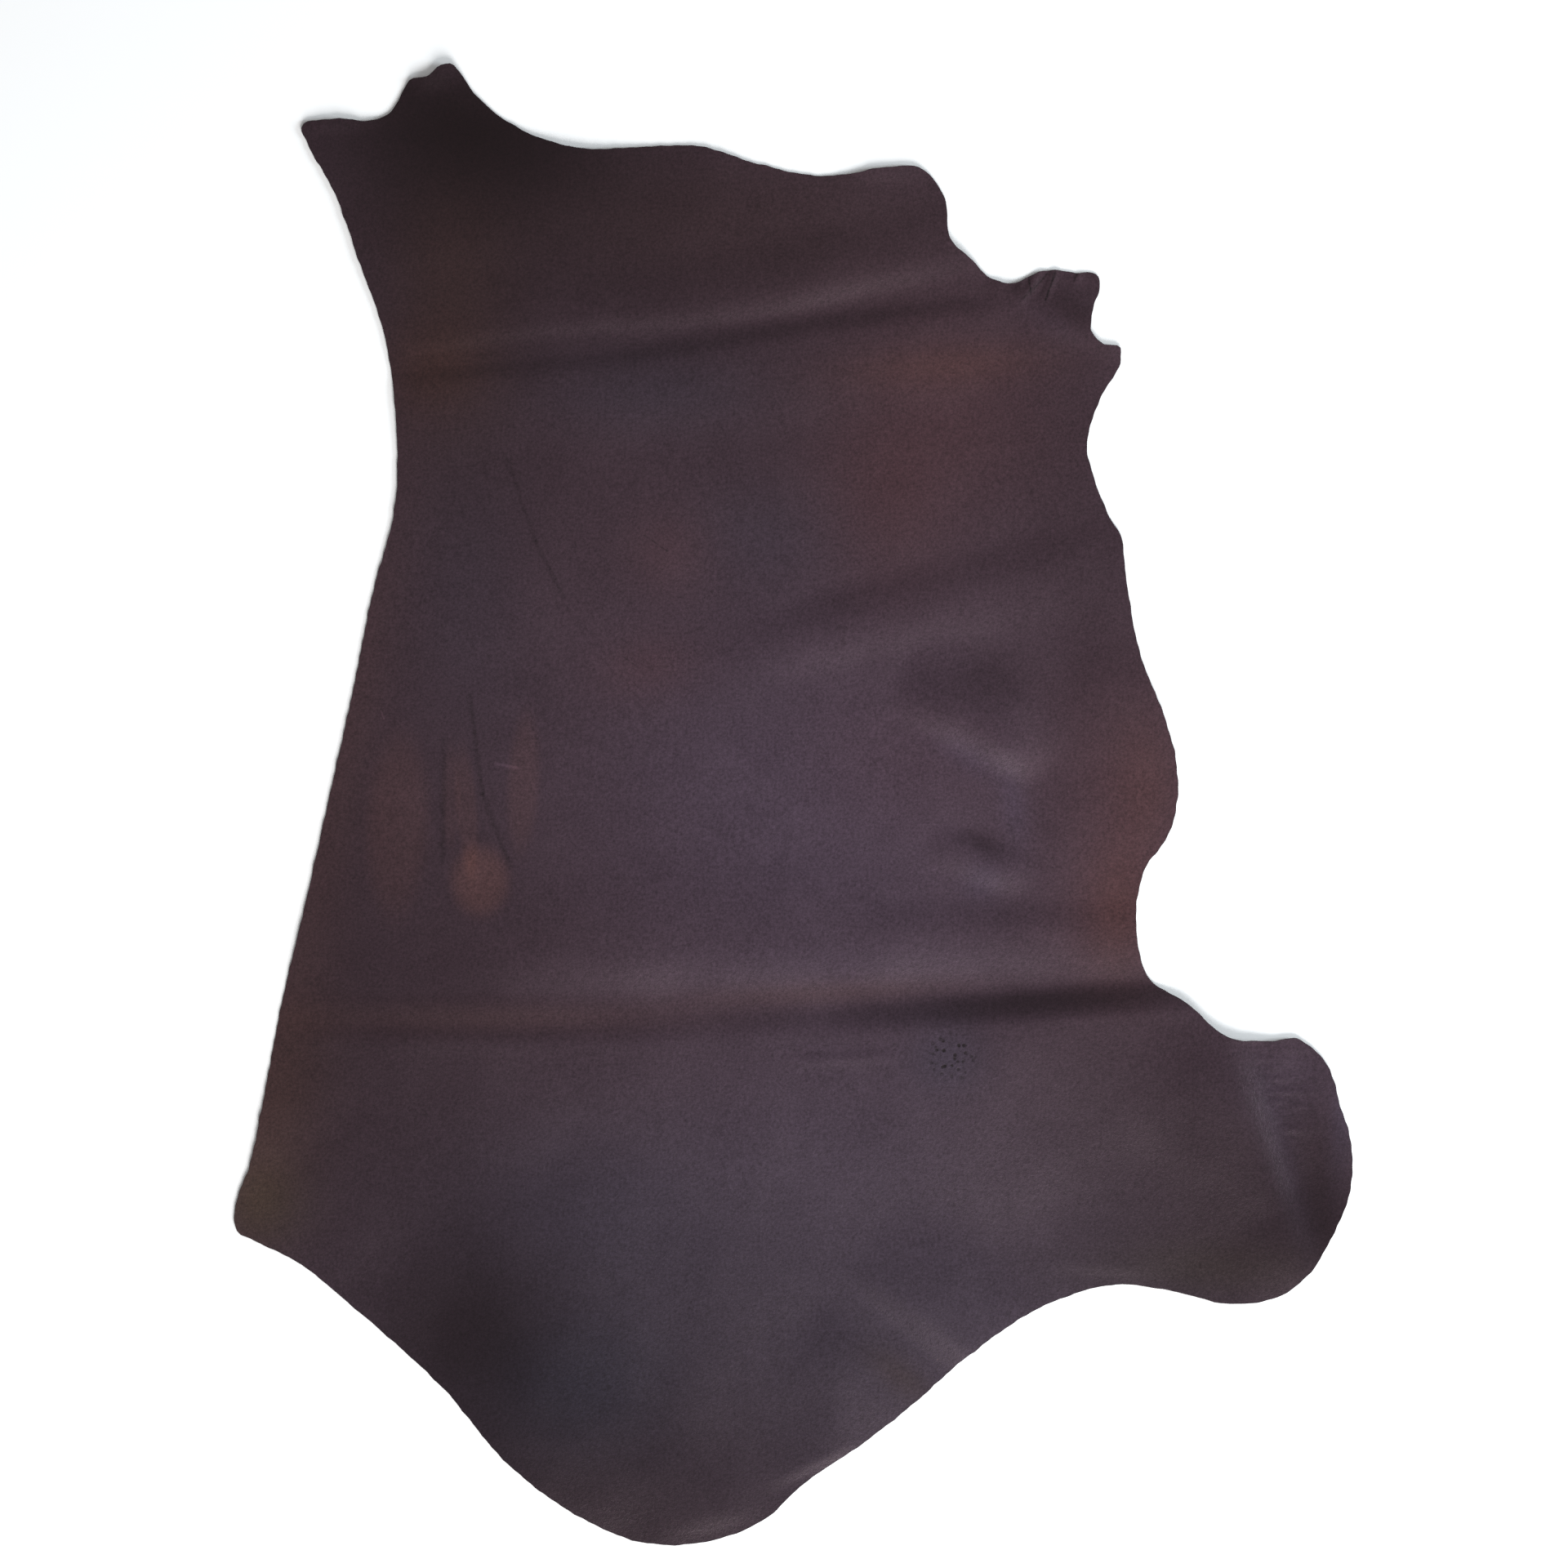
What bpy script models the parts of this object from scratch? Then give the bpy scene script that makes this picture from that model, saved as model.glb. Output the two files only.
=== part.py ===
"""A side of leather, the half hide as a tannery trims it, laid out on a flat surface.

The side is one sheet of full-grain leather, flesh side down. It lies flat on the surface over most
of its length and lifts off it in long soft folds. The backbone edge is at -X, the belly and the two
shanks are at +X, the neck is at +Y and the butt is at -Y. The origin is the middle of its foot print,
on the surface. Every size is in metres.
"""

from collections import namedtuple
from math import ceil

import bpy
import numpy as np
from mathutils import Vector
from mathutils.geometry import delaunay_2d_cdt

# Driving dimensions
HIDE_LENGTH = 2.05          # neck to butt
THICKNESS = 0.0022          # a 5 to 6 oz upholstery and bag weight
RIM_STEP = 0.015            # longest straight piece of the cut edge
GRID_STEP = 0.030           # distance between the points that carry the folds
RIM_CLEARANCE = 0.65        # share of GRID_STEP kept free of points beside the cut edge
SCATTER = 0.22              # share of GRID_STEP by which a point may stray from its row and column
SCATTER_SEED = 7
SETTLE = 0.0015             # lift that the weight of the sheet presses out again
MERGE_DISTANCE = 1e-6
FILL_INSIDE = 1             # the triangulation keeps only the triangles inside the rim

# Finish
GRAIN_COLOUR = (0.052, 0.034, 0.043, 1.0)
GRAIN_ROUGHNESS = 0.45

# The trimmed edge, clockwise, as x, y points in metres; a smooth curve runs through them.
OUTLINE = {
    "neck": [
        (-0.682, 0.936), (-0.635, 0.948), (-0.584, 0.946), (-0.561, 0.955), (-0.544, 0.980),
        (-0.530, 1.003), (-0.506, 1.007), (-0.485, 1.023), (-0.473, 1.024), (-0.463, 1.013),
    ],
    "shoulder": [
        (-0.446, 0.988), (-0.391, 0.941), (-0.307, 0.909), (-0.193, 0.910), (-0.137, 0.911),
        (-0.046, 0.885), (0.041, 0.869), (0.079, 0.872), (0.129, 0.881), (0.178, 0.879),
        (0.209, 0.840), (0.218, 0.781), (0.252, 0.748), (0.272, 0.728), (0.300, 0.720),
    ],
    "fore_shank": [
        (0.349, 0.738), (0.391, 0.735), (0.420, 0.732), (0.425, 0.719), (0.415, 0.685),
        (0.415, 0.649), (0.429, 0.636), (0.453, 0.632), (0.454, 0.619),
    ],
    "belly": [
        (0.423, 0.556), (0.407, 0.491), (0.419, 0.444), (0.438, 0.397), (0.453, 0.372),
        (0.460, 0.320), (0.483, 0.199), (0.514, 0.120), (0.530, 0.061), (0.533, 0.010),
        (0.517, -0.050), (0.492, -0.083), (0.475, -0.166), (0.498, -0.249),
    ],
    "hind_shank": [
        (0.540, -0.274), (0.606, -0.326), (0.662, -0.330), (0.696, -0.327), (0.737, -0.359),
        (0.758, -0.420), (0.773, -0.472), (0.770, -0.543), (0.747, -0.599), (0.718, -0.648),
        (0.676, -0.682), (0.619, -0.694), (0.513, -0.674), (0.453, -0.667),
    ],
    "butt": [
        (0.361, -0.691), (0.248, -0.761), (0.175, -0.825), (0.096, -0.888), (0.014, -0.944),
        (-0.043, -0.995), (-0.112, -1.022), (-0.214, -1.023), (-0.290, -0.991), (-0.391, -0.918),
        (-0.485, -0.811), (-0.545, -0.755), (-0.618, -0.692), (-0.685, -0.638), (-0.748, -0.606),
        (-0.771, -0.594),
    ],
    "backbone": [
        (-0.774, -0.579), (-0.751, -0.494), (-0.734, -0.410), (-0.708, -0.274), (-0.674, -0.131),
        (-0.645, -0.001), (-0.610, 0.156), (-0.582, 0.294), (-0.552, 0.410), (-0.550, 0.524),
        (-0.570, 0.662), (-0.600, 0.746), (-0.638, 0.851), (-0.673, 0.914),
    ],
}

# Folds: each is a ridge from start to end whose crest bows sideways to its left by bow and rises by
# rise; left and right are how far its two flanks run from the crest, seen from start to end.
Fold = namedtuple("Fold", "name start end bow rise left right")
FOLDS = [
    Fold("neck tip curl", (-0.700, 0.945), (-0.560, 0.965), 0.000, 0.006, 0.040, 0.035),
    Fold("neck edge curl", (-0.550, 1.010), (-0.450, 1.035), 0.000, 0.009, 0.040, 0.045),
    Fold("neck swell", (-0.640, 0.830), (-0.180, 0.840), 0.000, 0.014, 0.130, 0.190),
    Fold("shoulder edge", (0.040, 0.883), (0.220, 0.888), 0.000, 0.005, 0.030, 0.035),
    Fold("shoulder swell", (-0.360, 0.640), (0.420, 0.813), 0.000, 0.009, 0.080, 0.054),
    Fold("shoulder swell tail", (-0.640, 0.632), (-0.080, 0.703), 0.000, 0.005, 0.090, 0.036),
    Fold("shoulder fold left", (-0.640, 0.566), (-0.080, 0.624), -0.007, 0.007, 0.034, 0.130),
    Fold("shoulder fold right", (-0.300, 0.590), (0.420, 0.690), 0.007, 0.010, 0.038, 0.150),
    Fold("fore shank", (0.340, 0.700), (0.480, 0.630), 0.000, 0.006, 0.040, 0.050),
    Fold("rib fold", (-0.160, 0.165), (0.620, 0.375), 0.018, 0.006, 0.070, 0.110),
    Fold("rib swell", (-0.120, 0.185), (0.330, 0.300), 0.008, 0.004, 0.060, 0.062),
    Fold("belly swell", (0.135, 0.174), (0.365, 0.040), 0.004, 0.013, 0.095, 0.056),
    Fold("belly edge", (0.350, 0.170), (0.600, 0.130), 0.000, 0.004, 0.070, 0.150),
    Fold("under the dimple", (0.178, -0.044), (0.346, -0.112), 0.000, 0.007, 0.034, 0.048),
    Fold("rump swell", (-0.560, -0.208), (0.300, -0.192), 0.000, 0.008, 0.150, 0.085),
    Fold("flank swell", (0.040, -0.184), (0.580, -0.180), 0.000, 0.007, 0.055, 0.085),
    Fold("flank fold", (-0.420, -0.332), (0.780, -0.262), -0.018, 0.008, 0.046, 0.330),
    Fold("flank fold end", (0.020, -0.322), (0.800, -0.268), -0.006, 0.011, 0.055, 0.330),
    Fold("flank fold tail", (-0.760, -0.332), (-0.060, -0.337), 0.000, 0.003, 0.030, 0.140),
    Fold("hind shank", (0.566, -0.285), (0.708, -0.720), 0.000, 0.010, 0.060, 0.150),
    Fold("hind shank rim", (0.732, -0.310), (0.792, -0.690), 0.000, 0.004, 0.030, 0.050),
    Fold("hind shank edge", (0.885, -0.545), (0.565, -0.785), 0.000, 0.007, 0.060, 0.135),
    Fold("lower flank", (0.080, -0.622), (0.330, -0.829), 0.000, 0.010, 0.140, 0.046),
    Fold("butt edge", (0.010, -0.704), (0.225, -0.882), 0.000, 0.006, 0.048, 0.130),
    Fold("flank rim", (0.340, -0.632), (0.530, -0.645), 0.000, 0.002, 0.150, 0.028),
    Fold("butt rim", (-0.060, -0.950), (0.110, -0.872), 0.000, 0.003, 0.110, 0.026),
    Fold("lowest rim", (-0.210, -1.006), (-0.010, -0.962), 0.000, 0.002, 0.110, 0.034),
    Fold("rump edge", (-0.600, -0.820), (-0.080, -1.100), 0.000, 0.009, 0.200, 0.050),
    Fold("butt swell", (-0.345, -0.480), (-0.355, -1.060), 0.000, 0.009, 0.240, 0.160),
]


def smooth_closed_curve(points, step):
    """Samples the curve through the points at most step apart, in as many pieces for each span.

    Each span is a cubic. The slope at a point is the mean of the slopes of the two straight lines to
    its neighbours, each weighted by the length of the other, so that uneven spans don't overshoot.
    """
    points = np.array(points)
    following = np.roll(points, -1, axis=0)
    chord = following - points
    length = np.linalg.norm(chord, axis=1, keepdims=True)
    chord_before = np.roll(chord, 1, axis=0)
    length_before = np.roll(length, 1, axis=0)
    slope = (chord_before / length_before * length + chord / length * length_before)
    slope /= length + length_before
    slope_following = np.roll(slope, -1, axis=0)

    samples = []
    for i, span in enumerate(length[:, 0]):
        pieces = max(2, ceil(span / step))
        t = np.arange(pieces)[:, None] / pieces
        samples.append(
            points[i] * (1 + t * t * (2 * t - 3))
            + slope[i] * span * t * (1 - t) ** 2
            + following[i] * t * t * (3 - 2 * t)
            - slope_following[i] * span * t * t * (1 - t)
        )
    return np.concatenate(samples)


def inside(points, outline):
    """True for the points that a ray to +X leaves through the outline an odd number of times."""
    x, y = points[:, 0, None], points[:, 1, None]
    x1, y1 = outline[:, 0], outline[:, 1]
    x2, y2 = np.roll(x1, -1), np.roll(y1, -1)
    crosses = (y1 > y) != (y2 > y)
    rise = np.where(y2 == y1, 1.0, y2 - y1)
    crossing_x = x1 + (y - y1) * (x2 - x1) / rise
    return (crosses & (x < crossing_x)).sum(axis=1) % 2 == 1


def scattered_points(outline, step, clearance):
    """Rows of points half a step over from each other, each strayed a little, clear of the outline."""
    low, high = outline.min(axis=0), outline.max(axis=0)
    row_height = step * np.sqrt(3) / 2
    columns = np.arange(low[0], high[0], step)
    rows = np.arange(low[1], high[1], row_height)
    x, y = np.meshgrid(columns, rows)
    x[1::2] += step / 2
    points = np.column_stack((x.ravel(), y.ravel()))
    points += np.random.default_rng(SCATTER_SEED).uniform(-SCATTER, SCATTER, points.shape) * step
    points = points[inside(points, outline)]
    nearest = np.array([np.linalg.norm(outline - point, axis=1).min() for point in points])
    return points[nearest > clearance]


def ridge_height(fold, x, y):
    """Height of one fold: its rise, fading towards both ends and down both flanks."""
    start, end = np.array(fold.start), np.array(fold.end)
    run = np.linalg.norm(end - start)
    direction = (end - start) / run
    forward = (x - start[0]) * direction[0] + (y - start[1]) * direction[1]
    sideways = (y - start[1]) * direction[0] - (x - start[0]) * direction[1]
    along = np.clip(2 * forward / run - 1, -1, 1)
    offset = sideways - fold.bow * (1 - along ** 2)
    across = np.clip(offset / np.where(offset > 0, fold.left, fold.right), -1, 1)
    return fold.rise * (1 - np.abs(along) ** 3) ** 2 * (1 - across ** 2) ** 2


def lift(x, y):
    """Height of the flesh side over the surface: all folds together, eased off it where they start."""
    total = sum(ridge_height(fold, x, y) for fold in FOLDS)
    return total ** 2 / (total + SETTLE)


def leather_material():
    """Dark burgundy full-grain leather with a satin finish."""
    material = bpy.data.materials.new("burgundy_leather")
    material.use_nodes = True
    shader = material.node_tree.nodes["Principled BSDF"]
    shader.inputs["Base Color"].default_value = GRAIN_COLOUR
    shader.inputs["Roughness"].default_value = GRAIN_ROUGHNESS
    shader.inputs["Metallic"].default_value = 0.0
    return material


def hide_sheet(collection):
    """The flesh side as one folded surface, given its thickness upwards, towards the grain."""
    corners = [point for stretch in OUTLINE.values() for point in stretch]
    outline = smooth_closed_curve(corners, RIM_STEP)
    inner = scattered_points(outline, GRID_STEP, GRID_STEP * RIM_CLEARANCE)
    flat_points = [Vector(point) for point in np.concatenate((outline, inner))]
    rim = list(range(len(outline)))
    points, _, faces, _, _, _ = delaunay_2d_cdt(flat_points, [], [rim], FILL_INSIDE, MERGE_DISTANCE)

    points = np.array(points)
    heights = lift(points[:, 0], points[:, 1])
    low, high = outline.min(axis=0), outline.max(axis=0)
    scale = HIDE_LENGTH / (high[1] - low[1])
    footprint = (points - (low + high) / 2) * scale

    mesh = bpy.data.meshes.new("hide")
    mesh.from_pydata(np.column_stack((footprint, heights)).tolist(), [], faces)
    mesh.materials.append(leather_material())
    mesh.shade_smooth()

    hide = bpy.data.objects.new("hide", mesh)
    collection.objects.link(hide)
    thickness = hide.modifiers.new("thickness", "SOLIDIFY")
    thickness.thickness = THICKNESS
    thickness.offset = 1.0
    return hide


def build():
    for old in list(bpy.data.objects):
        bpy.data.objects.remove(old, do_unlink=True)
    collection = bpy.data.collections.new("leather_hide")
    bpy.context.scene.collection.children.link(collection)
    hide_sheet(collection)


build()
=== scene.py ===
# %% [markdown]
# # A side of leather, laid out grain side up
#
# A side is half a hide, cut along the backbone and trimmed round the neck, the belly and the two
# shanks. This one is full-grain leather, dyed dark burgundy and finished with wax, so it has a satin
# sheen that shows every soft fold. The lesson builds it as one closed sheet of real thickness: a fine
# grain side, a cut edge and a flesh side, each with its own finish, and lights it in a plain studio.

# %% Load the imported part
from collections import namedtuple
from math import ceil, radians

import bpy
import numpy as np
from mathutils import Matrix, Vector


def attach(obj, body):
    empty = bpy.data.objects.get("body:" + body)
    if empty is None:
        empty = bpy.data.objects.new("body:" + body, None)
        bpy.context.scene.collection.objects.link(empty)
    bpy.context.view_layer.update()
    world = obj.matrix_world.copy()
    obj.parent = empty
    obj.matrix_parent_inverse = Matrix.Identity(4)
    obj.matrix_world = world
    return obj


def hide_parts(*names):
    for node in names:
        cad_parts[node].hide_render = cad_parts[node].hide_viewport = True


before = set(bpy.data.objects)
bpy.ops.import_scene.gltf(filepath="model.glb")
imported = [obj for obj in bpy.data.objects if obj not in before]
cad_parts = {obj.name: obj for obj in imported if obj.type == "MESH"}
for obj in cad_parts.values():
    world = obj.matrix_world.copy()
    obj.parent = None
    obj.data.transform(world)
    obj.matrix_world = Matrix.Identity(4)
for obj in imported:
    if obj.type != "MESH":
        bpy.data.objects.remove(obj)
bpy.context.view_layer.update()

# %% [markdown]
# ## The trimmed edge
#
# The outline of a hide is the animal's own: long lazy curves with a few small tabs where the skin of
# the neck and the legs was. It could be drawn as a Bezier curve in the viewport, but a short table of
# points in metres is easier to correct. A cubic runs through each pair of neighbours, and its slope at
# a point is shared between the two spans, so the edge has no corners that the table doesn't ask for.

# %% Outline
HIDE_LENGTH = 2.05
EDGE_STEP = 0.003

OUTLINE = {
    "neck": [
        (-0.682, 0.936), (-0.635, 0.948), (-0.584, 0.946), (-0.561, 0.955), (-0.544, 0.980),
        (-0.530, 1.003), (-0.506, 1.007), (-0.485, 1.023), (-0.473, 1.024), (-0.463, 1.013),
    ],
    "shoulder": [
        (-0.446, 0.988), (-0.391, 0.941), (-0.307, 0.909), (-0.193, 0.910), (-0.137, 0.911),
        (-0.046, 0.885), (0.041, 0.869), (0.079, 0.872), (0.129, 0.881), (0.178, 0.879),
        (0.209, 0.840), (0.218, 0.781), (0.252, 0.748), (0.272, 0.728), (0.300, 0.720),
    ],
    "fore_shank": [
        (0.349, 0.738), (0.391, 0.735), (0.420, 0.732), (0.425, 0.719), (0.415, 0.685),
        (0.415, 0.649), (0.429, 0.636), (0.453, 0.632), (0.454, 0.619),
    ],
    "belly": [
        (0.423, 0.556), (0.407, 0.491), (0.419, 0.444), (0.438, 0.397), (0.453, 0.372),
        (0.460, 0.320), (0.483, 0.199), (0.514, 0.120), (0.530, 0.061), (0.533, 0.010),
        (0.517, -0.050), (0.492, -0.083), (0.475, -0.166), (0.498, -0.249),
    ],
    "hind_shank": [
        (0.540, -0.274), (0.606, -0.326), (0.662, -0.330), (0.696, -0.327), (0.737, -0.359),
        (0.758, -0.420), (0.773, -0.472), (0.770, -0.543), (0.747, -0.599), (0.718, -0.648),
        (0.676, -0.682), (0.619, -0.694), (0.513, -0.674), (0.453, -0.667),
    ],
    "butt": [
        (0.361, -0.691), (0.248, -0.761), (0.175, -0.825), (0.096, -0.888), (0.014, -0.944),
        (-0.043, -0.995), (-0.112, -1.022), (-0.214, -1.023), (-0.290, -0.991), (-0.391, -0.918),
        (-0.485, -0.811), (-0.545, -0.755), (-0.618, -0.692), (-0.685, -0.638), (-0.748, -0.606),
        (-0.771, -0.594),
    ],
    "backbone": [
        (-0.774, -0.579), (-0.751, -0.494), (-0.734, -0.410), (-0.708, -0.274), (-0.674, -0.131),
        (-0.645, -0.001), (-0.610, 0.156), (-0.582, 0.294), (-0.552, 0.410), (-0.550, 0.524),
        (-0.570, 0.662), (-0.600, 0.746), (-0.638, 0.851), (-0.673, 0.914),
    ],
}


def smooth_closed_curve(points, step):
    """Samples the closed curve through the points, at most step apart.

    Each span is the cubic t -> p(2t^3 - 3t^2 + 1) + q(3t^2 - 2t^3) + the two end slopes times their
    own cubics. The slope at a point is the mean of the directions to its neighbours, each weighted by
    the length of the other span.
    """
    points = np.array(points)
    following = np.roll(points, -1, axis=0)
    chord = following - points
    length = np.linalg.norm(chord, axis=1, keepdims=True)
    chord_before = np.roll(chord, 1, axis=0)
    length_before = np.roll(length, 1, axis=0)
    slope = chord_before / length_before * length + chord / length * length_before
    slope /= length + length_before
    slope_following = np.roll(slope, -1, axis=0)
    samples = []
    for i, span in enumerate(length[:, 0]):
        pieces = max(2, ceil(span / step))
        t = np.arange(pieces)[:, None] / pieces
        samples.append(
            points[i] * (1 + t * t * (2 * t - 3))
            + slope[i] * span * t * (1 - t) ** 2
            + following[i] * t * t * (3 - 2 * t)
            - slope_following[i] * span * t * t * (1 - t)
        )
    return np.concatenate(samples)


edge = smooth_closed_curve([point for stretch in OUTLINE.values() for point in stretch], EDGE_STEP)
drawn_low, drawn_high = edge.min(axis=0), edge.max(axis=0)
middle = (drawn_low + drawn_high) / 2
scale = HIDE_LENGTH / (drawn_high[1] - drawn_low[1])
print("edge:", len(edge), "points, scale to the real length", round(scale, 4))

# %% The knife strays a little
KNIFE_WAVES = (88, 137, 211, 290)
KNIFE_STRAY = 0.0012


def sideways(loop):
    """Unit vectors to the left of a closed clockwise loop's own direction, which is outwards."""
    direction = np.roll(loop, -1, axis=0) - np.roll(loop, 1, axis=0)
    direction /= np.linalg.norm(direction, axis=1, keepdims=True)
    return np.column_stack((-direction[:, 1], direction[:, 0]))


def strayed(loop, seed=3):
    """Moves the loop sideways by a product of sines of the way round it, plus a mean of sines.

    Each sine has a whole number of waves round the loop, so the two ends meet.
    """
    random = np.random.default_rng(seed)
    step = np.linalg.norm(np.roll(loop, -1, axis=0) - loop, axis=1)
    turn = np.concatenate(([0], np.cumsum(step)[:-1])) / step.sum() * 2 * np.pi
    waves = [np.sin(count * turn + random.uniform(0, 2 * np.pi)) for count in KNIFE_WAVES]
    stray = (waves[0] * waves[2] + sum(waves) / len(waves)) / 2
    return loop + sideways(loop) * stray[:, None] * KNIFE_STRAY


smooth_edge = edge
edge = strayed(smooth_edge)
print("the cut strays by up to", round(np.linalg.norm(edge - smooth_edge, axis=1).max() * 1000, 1), "mm")

# %% [markdown]
# ## A grid that fits the outline
#
# A sheet with folds wants rows and columns of faces, not the long triangles that a filled outline
# gives. The outline is split at four natural corners into a top, a right, a bottom and a left side. A
# Coons patch blends the four sides into a grid: it is the sum of the two straight blends between
# opposite sides, less the blend of the corners. Its lines cross each other where an edge turns
# sharply, so every inner point is then relaxed a few times towards the place where both families of
# lines run smoothly (Winslow's method). The points stand closer together at the wrinkled shanks.

# %% Sides of the grid
CORNERS = {"neck": (-0.682, 0.936), "fore_shank": (0.454, 0.619), "hind_shank": (0.747, -0.599),
           "backbone": (-0.774, -0.579)}
COARSE_COLUMNS, COARSE_ROWS = 84, 112
FINER = 3
Crowd = namedtuple("Crowd", "share reach gain")
SHOULDER_CROWDS = [Crowd(0.89, 0.06, 1.0)]
BELLY_CROWDS = [Crowd(0.86, 0.05, 1.2)]


def edge_run(start, end, pieces, crowds=()):
    """Points of the trimmed edge, clockwise from one corner to the next.

    Each point's share of the way is read off a rising curve whose steepness is 1 plus a bell for each
    crowd, so the points stand closer together there.
    """
    first = np.argmin(np.linalg.norm(edge - CORNERS[start], axis=1))
    last = np.argmin(np.linalg.norm(edge - CORNERS[end], axis=1))
    run = edge[first:last + 1] if first < last else np.concatenate((edge[first:], edge[:last + 1]))
    way = np.concatenate(([0], np.cumsum(np.linalg.norm(np.diff(run, axis=0), axis=1))))
    share = np.linspace(0, 1, 1001)
    bells = sum(crowd.gain * np.exp(-((share - crowd.share) / crowd.reach) ** 2) for crowd in crowds)
    rank = np.cumsum(1 + bells + 0 * share)
    rank = (rank - rank[0]) / (rank[-1] - rank[0])
    share = np.interp(np.linspace(0, 1, pieces + 1), rank, share)
    return np.column_stack([np.interp(share * way[-1], way, run[:, k]) for k in (0, 1)])


columns, rows = COARSE_COLUMNS * FINER, COARSE_ROWS * FINER
top_side = edge_run("neck", "fore_shank", columns, SHOULDER_CROWDS)
right_side = edge_run("fore_shank", "hind_shank", rows, BELLY_CROWDS)
bottom_side = edge_run("hind_shank", "backbone", columns)[::-1]
left_side = edge_run("backbone", "neck", rows)[::-1]
print("sides:", len(top_side), len(right_side), len(bottom_side), len(left_side), "points")

# %% Coons patch, relaxed
COARSE_ROUNDS, FINE_ROUNDS = 36, 16


def coons_patch(top, right, bottom, left):
    """The grid (1-v)top + v bottom + (1-u)left + u right, less the bilinear blend of the corners."""
    u = np.linspace(0, 1, len(top))[None, :, None]
    v = np.linspace(0, 1, len(left))[:, None, None]
    straight = (1 - v) * top[None] + v * bottom[None] + (1 - u) * left[:, None] + u * right[:, None]
    corners = (1 - v) * ((1 - u) * top[0] + u * top[-1]) + v * ((1 - u) * bottom[0] + u * bottom[-1])
    return straight - corners


def relax(grid, rounds):
    """Moves each inner point to the mean of its neighbours, weighted by how stretched the other way is."""
    for _ in range(rounds):
        east, west, south, north = grid[1:-1, 2:], grid[1:-1, :-2], grid[2:, 1:-1], grid[:-2, 1:-1]
        along, down = (east - west) / 2, (south - north) / 2
        across_weight = (down ** 2).sum(axis=2, keepdims=True)
        down_weight = (along ** 2).sum(axis=2, keepdims=True)
        skew = (along * down).sum(axis=2, keepdims=True)
        diagonal = (grid[2:, 2:] + grid[:-2, :-2] - grid[2:, :-2] - grid[:-2, 2:]) / 4
        pull = across_weight * (east + west) + down_weight * (north + south) - 2 * skew * diagonal
        grid[1:-1, 1:-1] = pull / (2 * (across_weight + down_weight))
    return grid


def finer_grid(grid, times):
    """Straight blends between the points of a grid, first along its rows and then down its columns."""
    def finer_rows(points):
        at = np.linspace(0, len(points) - 1, (len(points) - 1) * times + 1)
        before = np.minimum(at.astype(int), len(points) - 2)
        share = (at - before)[:, None, None]
        return points[before] * (1 - share) + points[before + 1] * share
    return finer_rows(finer_rows(grid).transpose(1, 0, 2)).transpose(1, 0, 2)


coarse = coons_patch(top_side[::FINER], right_side[::FINER], bottom_side[::FINER], left_side[::FINER])
fine = finer_grid(relax(coarse, COARSE_ROUNDS), FINER)
fine[0], fine[-1], fine[:, 0], fine[:, -1] = top_side, bottom_side, left_side, right_side
fine = relax(fine, FINE_ROUNDS)
coarse = fine[::FINER, ::FINER]
across, down = np.diff(fine, axis=1)[:-1], np.diff(fine, axis=0)[:, :-1]
cell_area = across[..., 1] * down[..., 0] - across[..., 0] * down[..., 1]
print("cells:", cell_area.size, "smallest", round(cell_area.min() * 1e6, 1), "mm2, median",
      round(np.median(cell_area) * 1e6, 1), "mm2, folded over", int((cell_area <= 0).sum()))
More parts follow.
